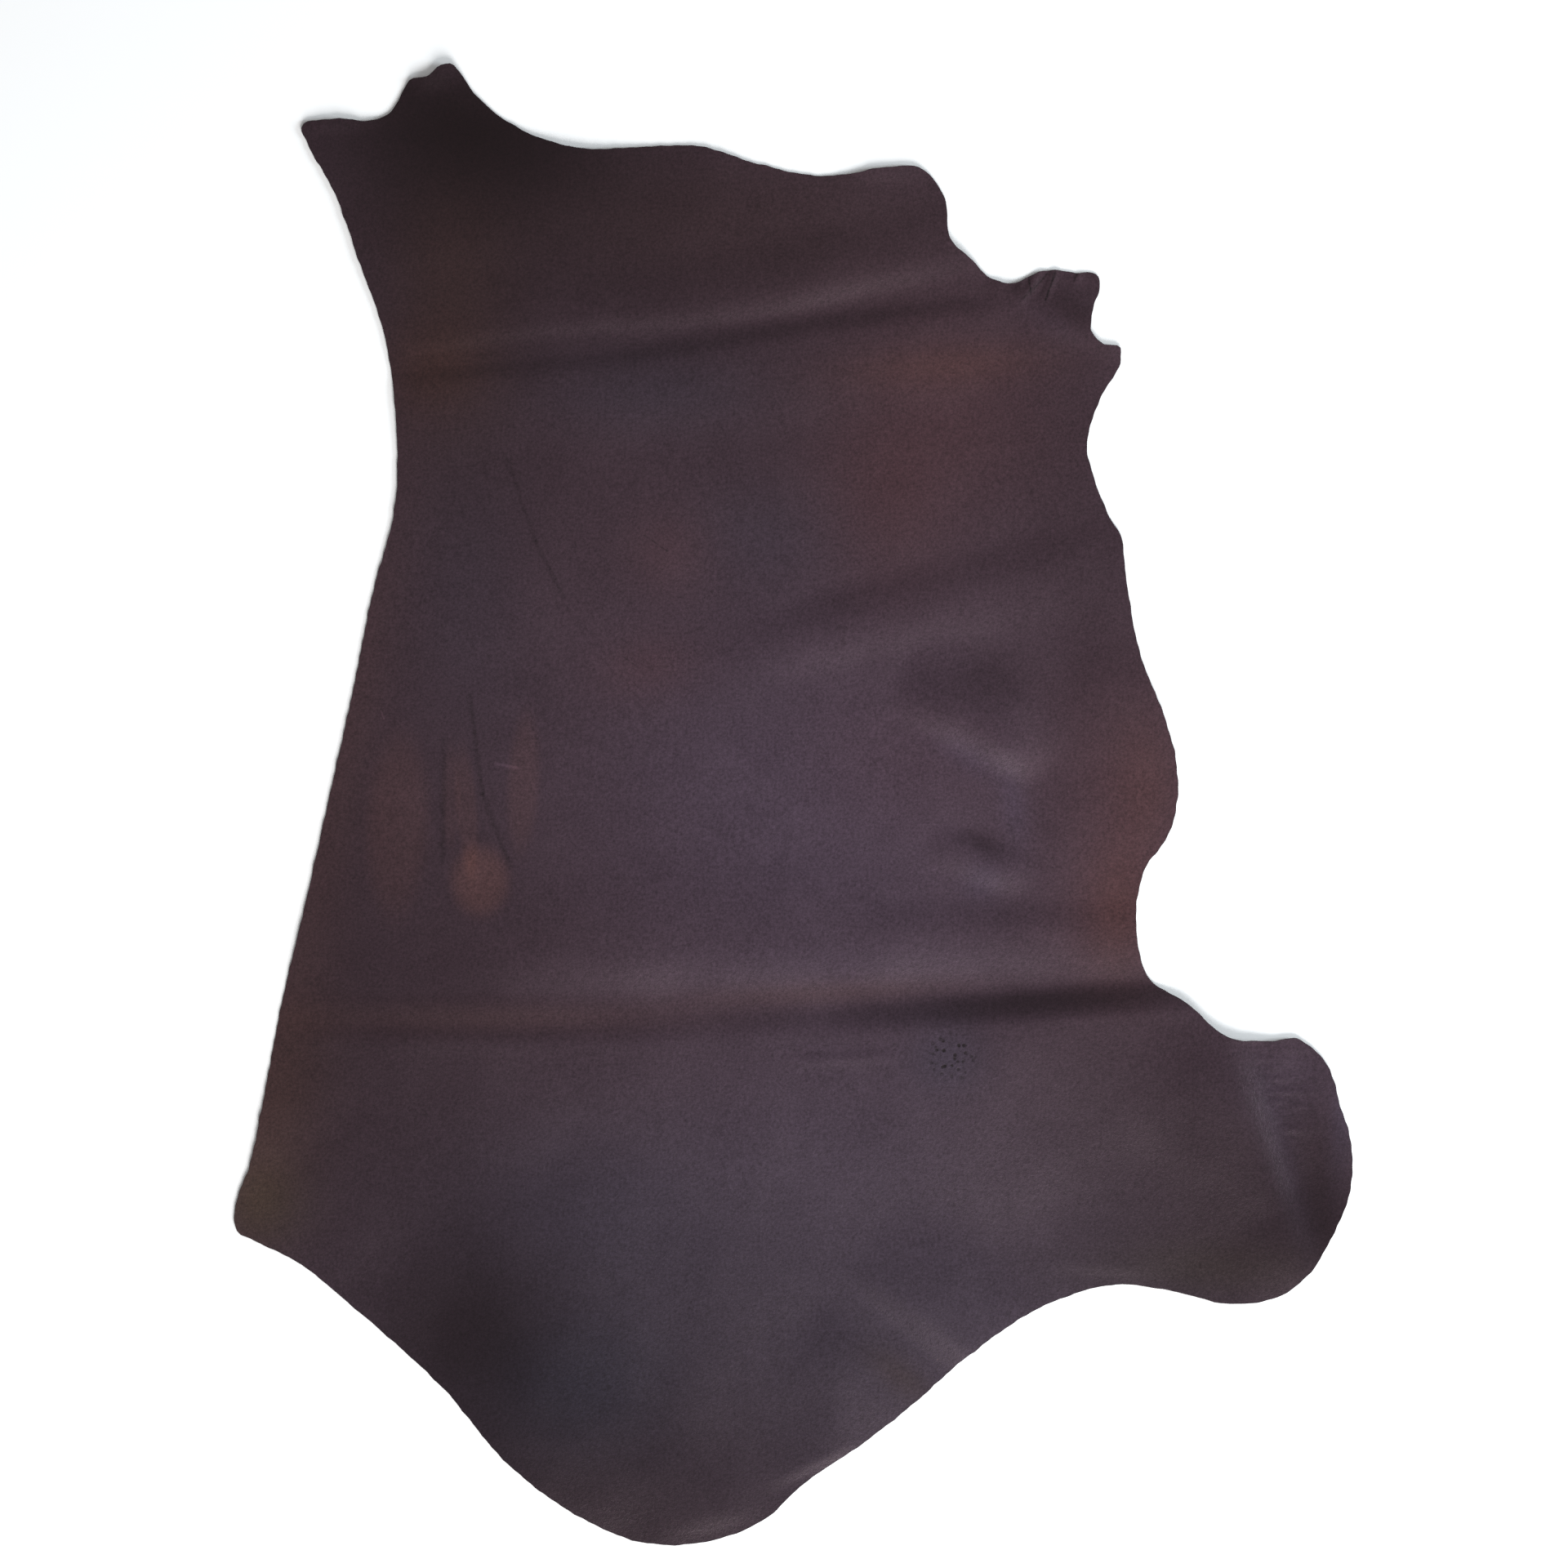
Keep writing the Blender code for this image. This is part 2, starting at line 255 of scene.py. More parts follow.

# %% [markdown]
# ## Folds
#
# A hide is never quite flat. It was stretched wet over a live shape, so the belly and the flanks keep
# soft folds, and the edges curl. Cloth simulation would drape it, but leather this stiff keeps its own
# folds when it lies down, so each one is placed as a ridge: a crest from start to end that
# bows sideways, with one width for each flank. Two flanks of unlike width make the lit side broad and
# the far side a thin dark line, as real folds have.

# %% Folds
Fold = namedtuple("Fold", "name start end bow rise left right")
FOLDS = [
    Fold("neck tip curl", (-0.700, 0.945), (-0.560, 0.965), 0.000, 0.006, 0.040, 0.035),
    Fold("neck edge curl", (-0.550, 1.010), (-0.450, 1.035), 0.000, 0.009, 0.040, 0.045),
    Fold("neck swell", (-0.640, 0.830), (-0.180, 0.840), 0.000, 0.014, 0.130, 0.190),
    Fold("shoulder edge", (0.040, 0.883), (0.220, 0.888), 0.000, 0.005, 0.030, 0.035),
    Fold("shoulder swell", (-0.360, 0.640), (0.420, 0.813), 0.000, 0.009, 0.080, 0.054),
    Fold("shoulder swell tail", (-0.640, 0.632), (-0.080, 0.703), 0.000, 0.005, 0.090, 0.036),
    Fold("shoulder fold left", (-0.640, 0.566), (-0.080, 0.624), -0.007, 0.007, 0.034, 0.130),
    Fold("shoulder fold right", (-0.300, 0.590), (0.420, 0.690), 0.007, 0.010, 0.038, 0.150),
    Fold("fore shank", (0.340, 0.700), (0.480, 0.630), 0.000, 0.006, 0.040, 0.050),
    Fold("rib fold", (-0.160, 0.165), (0.620, 0.375), 0.018, 0.006, 0.070, 0.110),
    Fold("rib swell", (-0.120, 0.185), (0.330, 0.300), 0.008, 0.004, 0.060, 0.062),
    Fold("belly swell", (0.135, 0.174), (0.365, 0.040), 0.004, 0.013, 0.095, 0.056),
    Fold("belly edge", (0.350, 0.170), (0.600, 0.130), 0.000, 0.004, 0.070, 0.150),
    Fold("under the dimple", (0.178, -0.044), (0.346, -0.112), 0.000, 0.007, 0.034, 0.048),
    Fold("rump swell", (-0.560, -0.208), (0.300, -0.192), 0.000, 0.008, 0.150, 0.085),
    Fold("flank swell", (0.040, -0.184), (0.580, -0.180), 0.000, 0.007, 0.055, 0.085),
    Fold("flank fold", (-0.420, -0.332), (0.780, -0.262), -0.018, 0.008, 0.046, 0.330),
    Fold("flank fold end", (0.020, -0.322), (0.800, -0.268), -0.006, 0.011, 0.055, 0.330),
    Fold("flank fold tail", (-0.760, -0.332), (-0.060, -0.337), 0.000, 0.003, 0.030, 0.140),
    Fold("hind shank", (0.566, -0.285), (0.708, -0.720), 0.000, 0.010, 0.060, 0.150),
    Fold("hind shank rim", (0.732, -0.310), (0.792, -0.690), 0.000, 0.004, 0.030, 0.050),
    Fold("hind shank edge", (0.885, -0.545), (0.565, -0.785), 0.000, 0.007, 0.060, 0.135),
    Fold("lower flank", (0.080, -0.622), (0.330, -0.829), 0.000, 0.010, 0.140, 0.046),
    Fold("butt edge", (0.010, -0.704), (0.225, -0.882), 0.000, 0.006, 0.048, 0.130),
    Fold("flank rim", (0.340, -0.632), (0.530, -0.645), 0.000, 0.002, 0.150, 0.028),
    Fold("butt rim", (-0.060, -0.950), (0.110, -0.872), 0.000, 0.003, 0.110, 0.026),
    Fold("lowest rim", (-0.210, -1.006), (-0.010, -0.962), 0.000, 0.002, 0.110, 0.034),
    Fold("rump edge", (-0.600, -0.820), (-0.080, -1.100), 0.000, 0.009, 0.200, 0.050),
    Fold("butt swell", (-0.345, -0.480), (-0.355, -1.060), 0.000, 0.009, 0.240, 0.160),
]
SETTLE = 0.0015


def ridge_height(fold, x, y):
    """Rise times (1 - |a|^3)^2 along the crest times (1 - c^2)^2 across it, a and c going from -1 to 1."""
    start, end = np.array(fold.start), np.array(fold.end)
    run = np.linalg.norm(end - start)
    direction = (end - start) / run
    forward = (x - start[0]) * direction[0] + (y - start[1]) * direction[1]
    sideways = (y - start[1]) * direction[0] - (x - start[0]) * direction[1]
    along = np.clip(2 * forward / run - 1, -1, 1)
    offset = sideways - fold.bow * (1 - along ** 2)
    across = np.clip(offset / np.where(offset > 0, fold.left, fold.right), -1, 1)
    return fold.rise * (1 - np.abs(along) ** 3) ** 2 * (1 - across ** 2) ** 2


def lift(x, y):
    """Height of the flesh side: all folds together, h, settled to h^2 / (h + SETTLE) by its weight."""
    total = sum(ridge_height(fold, x, y) for fold in FOLDS)
    return total ** 2 / (total + SETTLE)


heights = lift(fine[..., 0], fine[..., 1])
print("folds:", len(FOLDS), "highest", round(heights.max() * 1000, 1), "mm, lying flat",
      round(float((heights < 1e-5).mean()) * 100), "% of the hide")

# %% [markdown]
# ## Wrinkles of the grain
#
# The thin skin of the shanks and the flank carries wrinkles that are too small for the solid: a fan of
# puckers at the armpit, fine rings across the hind shank, and three thin creases along the flank fold.
# They are the same kind of ridge, only narrower, so the one formula makes them all. A slow waviness of
# a millimetre or so, a sum of long cosines in many directions, keeps the flat parts alive.

# %% Wrinkles
WAVE_LENGTHS = (0.30, 0.17, 0.10)
WAVE_RISE = 0.0007
WAVES_PER_LENGTH = 9
PUCKER_FLANKS = (0.012, 0.0055)
PUCKER_BOW = 0.004
RINGS = 13
RING_TOP = -0.318
RING_PITCH = 0.0120
RING_STARTS, RING_ENDS = 0.590, 0.690
RING_START_DRIFT = 0.004
RING_FLANKS = (0.0050, 0.0075)


def armpit_puckers():
    """Short ridges that run down and left from the edge between shoulder and fore shank.

    Each row has the place on the edge, the inner end and the rise. The flank towards the fore shank
    is the broad one, so every pucker has a thin side too.
    """
    rows = [
        ((0.318, 0.748), (0.306, 0.706), 0.0010),
        ((0.334, 0.752), (0.322, 0.708), 0.0013),
        ((0.352, 0.757), (0.306, 0.690), 0.0012),
        ((0.366, 0.762), (0.340, 0.690), 0.0017),
        ((0.397, 0.748), (0.386, 0.718), 0.0012),
    ]
    return [Fold("pucker", outer, inner, PUCKER_BOW, rise, *PUCKER_FLANKS) for outer, inner, rise in rows]


def shank_rings(seed=5):
    """Thin rings across the hind shank, each with its own place, length, tilt, bow and height."""
    random = np.random.default_rng(seed)
    rings = []
    for i in range(RINGS):
        y = RING_TOP - RING_PITCH * (i + random.uniform(-0.4, 0.4))
        start = RING_STARTS + RING_START_DRIFT * i + random.uniform(-0.010, 0.060)
        end = RING_ENDS + random.uniform(-0.040, 0.075)
        rise = random.uniform(0.0003, 0.0007)
        tilt = random.uniform(-0.008, 0.008)
        bow = random.uniform(-0.002, 0.005)
        rings.append(Fold("shank ring", (start, y + tilt), (end, y), bow, rise, *RING_FLANKS))
    return rings


WRINKLES = [
    Fold("upper flank crease", (-0.740, -0.276), (-0.200, -0.282), 0.000, 0.0009, 0.014, 0.028),
    Fold("lower flank crease", (-0.740, -0.325), (-0.130, -0.330), 0.000, 0.0008, 0.014, 0.030),
    Fold("flank crease right", (-0.020, -0.356), (0.160, -0.348), 0.000, 0.0009, 0.008, 0.018),
    Fold("armpit dimple", (0.270, 0.728), (0.330, 0.700), 0.000, 0.0030, 0.020, 0.030),
    *armpit_puckers(),
    *shank_rings(),
]


def waves(x, y, seed=11):
    """Slow waviness: for each wave length a mean of cosines, each with its own direction and phase."""
    random = np.random.default_rng(seed)
    total = np.zeros_like(x)
    for wave_length in WAVE_LENGTHS:
        for turn, phase in random.uniform(0, 2 * np.pi, (WAVES_PER_LENGTH, 2)):
            way = x * np.cos(turn) + y * np.sin(turn)
            total += np.cos(way * 2 * np.pi / wave_length + phase) * wave_length / WAVE_LENGTHS[0]
    return np.clip(1 + total / np.sqrt(WAVES_PER_LENGTH), 0, None) * WAVE_RISE


def wrinkled(x, y):
    """Height of all wrinkles together."""
    return sum(ridge_height(fold, x, y) for fold in WRINKLES)


highest_wave = waves(fine[..., 0], fine[..., 1]).max()
print("wrinkles:", len(WRINKLES), "and waves up to", round(highest_wave * 1000, 2), "mm")

# %% [markdown]
# ## From surface to sheet
#
# Leather has two unlike faces, so the sheet is built from both. The grain side takes the fine grid and
# every wrinkle. The flesh side lies on the table and is seldom seen, so the coarse grid is enough. A
# Solidify modifier would copy the fine grid to the flesh side for nothing. Two rings of points in
# between round the cut edge, and the last strip steps down from three fine points to one coarse one.

# %% Thickness and cut edge
THICKNESS = 0.0022
RIM_BULGE = 0.0005
RIM_HEIGHTS = (0.72, 0.25)


def border(indices):
    """The border of a grid of point numbers, clockwise from its first corner."""
    return np.concatenate((indices[0, :-1], indices[:-1, -1], indices[-1, :0:-1], indices[:0:-1, 0]))


def flat_to_world(points, height):
    """Drawn points and their height, as points in the part's own frame."""
    return np.column_stack(((points.reshape(-1, 2) - middle) * scale, height.ravel()))


def grid_quads(indices, upwards):
    corners = [indices[:-1, :-1], indices[1:, :-1], indices[1:, 1:], indices[:-1, 1:]]
    if not upwards:
        corners.reverse()
    return np.stack(corners, axis=-1).reshape(-1, 4)


def strip_quads(upper, lower):
    return np.column_stack((upper, np.roll(upper, -1), np.roll(lower, -1), lower))


def stepped_triangles(upper, lower):
    """Joins a ring of 3n points to the ring of n points below it, four triangles to a step."""
    first, second, third = upper[0::3], upper[1::3], upper[2::3]
    fourth, following = np.roll(first, -1), np.roll(lower, -1)
    steps = ((first, second, lower), (second, following, lower), (second, third, following),
             (third, fourth, following))
    return np.concatenate([np.column_stack(step) for step in steps])


grain_base = lift(fine[..., 0], fine[..., 1]) + waves(fine[..., 0], fine[..., 1])
grain_height = grain_base + THICKNESS + wrinkled(fine[..., 0], fine[..., 1])
flesh_height = lift(coarse[..., 0], coarse[..., 1]) + waves(coarse[..., 0], coarse[..., 1])

grain_index = np.arange(fine[..., 0].size).reshape(fine.shape[:2])
rim_start = grain_index.size
grain_border = border(grain_index)
rim_size = len(grain_border)
flesh_start = rim_start + rim_size * len(RIM_HEIGHTS)
flesh_index = flesh_start + np.arange(coarse[..., 0].size).reshape(coarse.shape[:2])

border_points = fine.reshape(-1, 2)[grain_border]
border_base, border_top = grain_base.ravel()[grain_border], grain_height.ravel()[grain_border]
bulged = border_points + sideways(border_points) * RIM_BULGE
rings = [flat_to_world(bulged, border_base + (border_top - border_base) * share) for share in RIM_HEIGHTS]
points = np.concatenate((flat_to_world(fine, grain_height), *rings, flat_to_world(coarse, flesh_height)))
ring_index = [rim_start + rim_size * k + np.arange(rim_size) for k in range(len(RIM_HEIGHTS))]
grain_faces = grid_quads(grain_index, upwards=True)
upper_ring, lower_ring = ring_index
rim_faces = np.concatenate((strip_quads(grain_border, upper_ring), strip_quads(upper_ring, lower_ring)))
step_faces = stepped_triangles(lower_ring, border(flesh_index))
flesh_faces = grid_quads(flesh_index, upwards=False)
print("points:", len(points), "grain faces", len(grain_faces), "edge faces", len(rim_faces) + len(step_faces),
      "flesh faces", len(flesh_faces))

# %% Mesh
GRAIN, CUT_EDGE, FLESH = range(3)
SHARP_EDGE = radians(40)


def sheet_mesh(name, points, face_groups):
    """One mesh from faces in groups: each group is an array of quads or triangles and its material."""
    mesh = bpy.data.meshes.new(name)
    faces = [face for group, _ in face_groups for face in group.tolist()]
    mesh.from_pydata(points.tolist(), [], faces)
    materials = np.concatenate([np.full(len(group), index) for group, index in face_groups])
    mesh.polygons.foreach_set("material_index", materials)
    mesh.shade_smooth()
    mesh.set_sharp_from_angle(angle=SHARP_EDGE)
    mesh.update()
    return mesh


hide_mesh = sheet_mesh("leather_side", points, [
    (grain_faces, GRAIN), (rim_faces, CUT_EDGE), (step_faces, CUT_EDGE), (flesh_faces, FLESH)])
leather_side = bpy.data.objects.new("leather_side", hide_mesh)
bpy.context.scene.collection.objects.link(leather_side)
hide_mesh.calc_loop_triangles()
print("mesh:", len(hide_mesh.loop_triangles), "triangles")

# %% [markdown]
# ## Where the colour shifts
#
# Aniline dye takes unevenly. It is browner along the backbone and at the neck, where the fibres are
# tight, redder where the belly is thin, and slate where the wax has bloomed. Old rubbed patches beside
# the backbone are tan. Other clouds are painted light: painted shade deepens the neck, the left side,
# the bottom edge, the hind shank and the hollows and shaded flanks of folds, and painted sheen lightens
# the middle and the lit flanks and crests. The neck tip is nearly black from darker dye and painted
# shade together. Each is a cloud, one row of a table: a centre, two reaches and a turn. Their product
# is stored as a colour on the points of the sheet, which the finish multiplies its pigment by.

# %% Tint clouds
# The deep tone paints shade and the pale violet tone paints sheen and highlights; the near-black one is
# darker dye and painted shade together; the rest are dye.
TONES = {"brown": (1.30, 1.20, 0.80), "orange": (1.55, 1.22, 0.75), "tan": (2.10, 1.75, 1.25),
         "rose": (1.36, 1.10, 0.98), "slate": (0.80, 1.18, 1.30), "painted_sheen": (1.20, 1.43, 1.60),
         "olive": (1.05, 1.20, 0.75), "painted_shade": (0.26, 0.20, 0.20), "black": (0.06, 0.00, 0.00)}
SOFT, CRISP = 1, 3
Cloud = namedtuple("Cloud", "tone centre reach turn strength edge")
# Many clouds paint light: the deep ones are painted shade on the neck, the left side, the bottom edge, the
# hind shank and in fold hollows, and the pale violet ones are painted sheen and highlights.
CLOUDS = [
    # The neck tip: darker dye and painted shade together.
    Cloud("black", (-0.455, 0.940), (0.260, 0.130), -14, 0.90, SOFT),
    Cloud("painted_shade", (-0.420, 0.780), (0.420, 0.190), 0, 0.50, SOFT),
    Cloud("painted_shade", (-0.480, 0.560), (0.150, 0.300), 0, 0.32, SOFT),
    Cloud("painted_shade", (-0.100, 0.540), (0.500, 0.170), 0, 0.18, SOFT),
    Cloud("painted_shade", (0.050, 0.830), (0.300, 0.110), 0, 0.15, SOFT),
    Cloud("painted_shade", (-0.600, -0.300), (0.280, 0.480), 0, 0.53, SOFT),
    Cloud("painted_shade", (-0.300, -1.000), (0.400, 0.340), 0, 0.80, SOFT),
    # The hind shank: painted shade over it and beside its band, then painted highlights on its upper part,
    # its band and its rim.
    Cloud("painted_shade", (0.650, -0.560), (0.230, 0.220), 0, 0.66, SOFT),
    Cloud("painted_shade", (0.730, -0.575), (0.045, 0.085), 12, 0.55, SOFT),
    Cloud("painted_sheen", (0.690, -0.380), (0.080, 0.070), 0, 0.60, SOFT),
    Cloud("painted_sheen", (0.686, -0.510), (0.020, 0.110), 16, 0.60, SOFT),
    Cloud("painted_sheen", (0.762, -0.440), (0.018, 0.090), -6, 0.80, SOFT),
    Cloud("painted_shade", (0.420, -0.440), (0.260, 0.190), 0, 0.24, SOFT),
    Cloud("painted_shade", (-0.447, -0.734), (0.150, 0.130), 0, 0.75, SOFT),
    Cloud("painted_shade", (0.430, 0.330), (0.120, 0.500), 0, 0.20, SOFT),
    Cloud("slate", (0.050, -0.760), (0.700, 0.330), 0, 0.80, SOFT),
    Cloud("brown", (-0.720, -0.440), (0.075, 0.170), -12, 0.80, SOFT),
    Cloud("brown", (-0.471, 0.700), (0.080, 0.180), 0, 0.70, SOFT),
    Cloud("orange", (-0.499, 0.600), (0.075, 0.060), 0, 0.50, SOFT),
    Cloud("orange", (-0.655, -0.020), (0.055, 0.500), -11, 0.40, SOFT),
    Cloud("olive", (-0.737, -0.551), (0.060, 0.060), 0, 1.00, SOFT),
    Cloud("orange", (-0.420, -0.296), (0.300, 0.022), 0, 0.35, SOFT),
    Cloud("orange", (0.040, -0.262), (0.200, 0.018), 3, 0.35, SOFT),
    Cloud("brown", (-0.150, 0.810), (0.400, 0.100), 0, 0.35, SOFT),
    Cloud("rose", (0.215, 0.545), (0.160, 0.130), 0, 0.80, SOFT),
    Cloud("orange", (0.215, 0.608), (0.150, 0.030), 4, 0.40, SOFT),
    Cloud("rose", (0.120, 0.400), (0.100, 0.110), 0, 0.75, SOFT),
    Cloud("rose", (0.460, 0.030), (0.110, 0.150), 0, 0.80, SOFT),
    Cloud("orange", (0.490, 0.020), (0.050, 0.100), 0, 0.30, SOFT),
    Cloud("orange", (0.452, -0.150), (0.050, 0.090), 0, 0.45, SOFT),
    Cloud("rose", (0.440, -0.160), (0.080, 0.100), 0, 0.55, SOFT),
    Cloud("painted_shade", (0.270, 0.175), (0.050, 0.045), 0, 0.35, SOFT),
    # Painted highlights and shade round the belly swell, the armpit dimple and crease and the navel dimple,
    # and a broad painted sheen over the middle.
    Cloud("painted_sheen", (0.306, 0.000), (0.020, 0.060), 8, 0.50, SOFT),
    Cloud("painted_shade", (0.312, 0.714), (0.013, 0.010), 20, 0.60, SOFT),
    Cloud("painted_shade", (0.395, 0.680), (0.036, 0.022), -25, 0.45, SOFT),
    Cloud("painted_sheen", (0.362, 0.664), (0.045, 0.018), -32, 0.25, SOFT),
    Cloud("painted_shade", (0.262, -0.052), (0.032, 0.015), -32, 0.45, SOFT),
    Cloud("painted_sheen", (0.262, -0.106), (0.030, 0.026), 0, 0.45, SOFT),
    Cloud("painted_sheen", (0.245, 0.068), (0.050, 0.020), -30, 0.45, SOFT),
    Cloud("painted_sheen", (0.020, 0.000), (0.330, 0.250), 0, 1.00, SOFT),
    Cloud("rose", (0.150, 0.060), (0.150, 0.110), 0, 0.35, SOFT),
    Cloud("painted_sheen", (0.080, -0.440), (0.260, 0.150), 0, 0.35, SOFT),
    Cloud("painted_sheen", (0.160, -0.224), (0.300, 0.035), 0, 0.15, SOFT),
    Cloud("slate", (-0.024, 0.376), (0.130, 0.080), 0, 0.40, SOFT),
    Cloud("slate", (-0.193, 0.569), (0.160, 0.060), 0, 0.50, SOFT),
    Cloud("slate", (-0.450, 0.300), (0.080, 0.200), 0, 0.30, SOFT),
    Cloud("slate", (-0.300, -0.560), (0.200, 0.140), 0, 0.40, SOFT),
    Cloud("slate", (-0.310, -0.810), (0.130, 0.100), 0, 0.80, SOFT),
    Cloud("olive", (0.576, -0.640), (0.140, 0.040), 0, 0.70, SOFT),
    # Painted shade along the shaded underside of the flank fold.
    Cloud("painted_shade", (0.360, -0.270), (0.200, 0.022), 4, 0.50, SOFT),
    Cloud("brown", (0.150, -0.792), (0.060, 0.022), -39, 0.60, SOFT),
    Cloud("tan", (-0.434, -0.106), (0.040, 0.048), 0, 0.85, CRISP),
    Cloud("tan", (-0.452, -0.010), (0.014, 0.090), 4, 0.35, CRISP),
    Cloud("tan", (-0.548, -0.030), (0.042, 0.124), -3, 0.40, CRISP),
    Cloud("tan", (-0.474, 0.010), (0.012, 0.072), 0, 0.25, CRISP),
    Cloud("tan", (-0.374, 0.030), (0.022, 0.095), -3, 0.35, CRISP),
    Cloud("rose", (-0.170, 0.350), (0.060, 0.060), 0, 0.60, SOFT),
    Cloud("rose", (-0.200, 0.190), (0.070, 0.045), 10, 0.60, SOFT),
    Cloud("slate", (0.214, -0.350), (0.052, 0.048), 0, 0.45, SOFT),
]
POLISHED_TONES = ("painted_shade", "black")
POLISH = 0.30


def cloud_weight(cloud, x, y):
    """exp(-r^(2 edge)), with r^2 = (p/reach_x)^2 + (q/reach_y)^2, p and q being x and y turned.

    An edge of 1 gives a soft bell, and a larger one a plateau with a crisper rim.
    """
    turn = radians(cloud.turn)
    p = (x - cloud.centre[0]) * np.cos(turn) + (y - cloud.centre[1]) * np.sin(turn)
    q = (y - cloud.centre[1]) * np.cos(turn) - (x - cloud.centre[0]) * np.sin(turn)
    square = (p / cloud.reach[0]) ** 2 + (q / cloud.reach[1]) ** 2
    return cloud.strength * np.exp(-square ** cloud.edge)


def store_tint(mesh):
    """Multiplies 1 + w (tone - 1) over all clouds, and keeps the product as the points' colour.

    The painted-shade clouds and the near-black neck cloud also lower the roughness: the fourth channel
    is the product of 1 - POLISH w over them, which the finish multiplies its roughness by.
    """
    co = np.empty(len(mesh.vertices) * 3)
    mesh.vertices.foreach_get("co", co)
    x, y = co.reshape(-1, 3)[:, 0], co.reshape(-1, 3)[:, 1]
    tint = np.ones((len(x), 4))
    for cloud in CLOUDS:
        weight = cloud_weight(cloud, x, y)
        tint[:, :3] *= 1 + weight[:, None] * (np.array(TONES[cloud.tone]) - 1)
        if cloud.tone in POLISHED_TONES:
            tint[:, 3] *= 1 - POLISH * weight
    attribute = mesh.attributes.new("tint", "FLOAT_COLOR", "POINT")
    attribute.data.foreach_set("color", tint.ravel())
    return tint


tint = store_tint(hide_mesh)
print("tint: from", tint[:, :3].min(axis=0).round(2), "to", tint[:, :3].max(axis=0).round(2))

# %% [markdown]
# ## A small language for finishes
#
# A finish is a graph of nodes, and graphs are hard to read as code. The class below wraps a socket, so
# an expression such as `1 - mask * 0.4` adds the Math nodes that work it out.

# %% Node helper
class Signal:
    """A number that travels through a finish; arithmetic on it adds Math nodes."""

    def __init__(self, finish, socket):
        self.finish, self.socket = finish, socket

    def _math(self, operation, *values):
        return self.finish.node("ShaderNodeMath", {"operation": operation}, *values)

    def __add__(self, other):
        return self._math("ADD", self, other)

    def __sub__(self, other):
        return self._math("SUBTRACT", self, other)

    def __rsub__(self, other):
        return self._math("SUBTRACT", other, self)

    def __mul__(self, other):
        return self._math("MULTIPLY", self, other)

    __radd__, __rmul__ = __add__, __mul__


class Finish:
    """A material with a Principled shader, and methods that add the other nodes."""

    COLOUR_A, COLOUR_B, COLOUR_RESULT = 6, 7, 2

    def __init__(self, name, **constants):
        self.material = bpy.data.materials.new(name)
        self.material.use_nodes = True
        self.tree = self.material.node_tree
        self.shader = self.tree.nodes["Principled BSDF"]
        for socket, value in constants.items():
            self.shader.inputs[socket.replace("_", " ")].default_value = value
        self.place = self.node("ShaderNodeTexCoord", output="Object")

    def node(self, kind, settings=None, *values, output=0, **named):
        node = self.tree.nodes.new(kind)
        for key, value in (settings or {}).items():
            setattr(node, key, value)
        for key, value in [*enumerate(values), *named.items()]:
            self.feed(node.inputs[key.replace("_", " ") if isinstance(key, str) else key], value)
        return Signal(self, node.outputs[output])

    def feed(self, socket, value):
        if isinstance(value, Signal):
            self.tree.links.new(value.socket, socket)
        else:
            socket.default_value = value

    def vector(self, operation, *values, output="Vector", **named):
        return self.node("ShaderNodeVectorMath", {"operation": operation}, *values, output=output, **named)

    def cells(self, scale):
        """The distance to the nearest of many scattered points, scale of them to a metre."""
        return self.node("ShaderNodeTexVoronoi", None, Vector=self.place, Scale=scale, output="Distance")

    def noise(self, scale, detail, roughness, place=None):
        return self.node("ShaderNodeTexNoise", {"noise_dimensions": "3D"}, Vector=place or self.place,
                         Scale=scale, Detail=detail, Roughness=roughness)

    def fade(self, value, low, high):
        """0 below low, 1 above high, and a smooth step between them."""
        return self.node("ShaderNodeMapRange", {"interpolation_type": "SMOOTHSTEP"}, value, low, high)

    def times(self, colour, other):
        """Two colours multiplied."""
        mix = self.tree.nodes.new("ShaderNodeMix")
        mix.data_type, mix.blend_type = "RGBA", "MULTIPLY"
        self.feed(mix.inputs["Factor"], 1.0)
        self.feed(mix.inputs[self.COLOUR_A], colour)
        self.feed(mix.inputs[self.COLOUR_B], other)
        return Signal(self, mix.outputs[self.COLOUR_RESULT])

    def blend(self, factor, low, high):
        """A colour between two, by the factor."""
        mix = self.tree.nodes.new("ShaderNodeMix")
        mix.data_type = "RGBA"
        self.feed(mix.inputs["Factor"], factor)
        self.feed(mix.inputs[self.COLOUR_A], low)
        self.feed(mix.inputs[self.COLOUR_B], high)
        return Signal(self, mix.outputs[self.COLOUR_RESULT])

    def bump(self, height, distance, strength, normal=None):
        """A normal tilted by the height, on top of another one if it is given."""
        named = {"Height": height, "Distance": distance, "Strength": strength}
        if normal:
            named["Normal"] = normal
        return self.node("ShaderNodeBump", None, **named)


print("node helper ready")
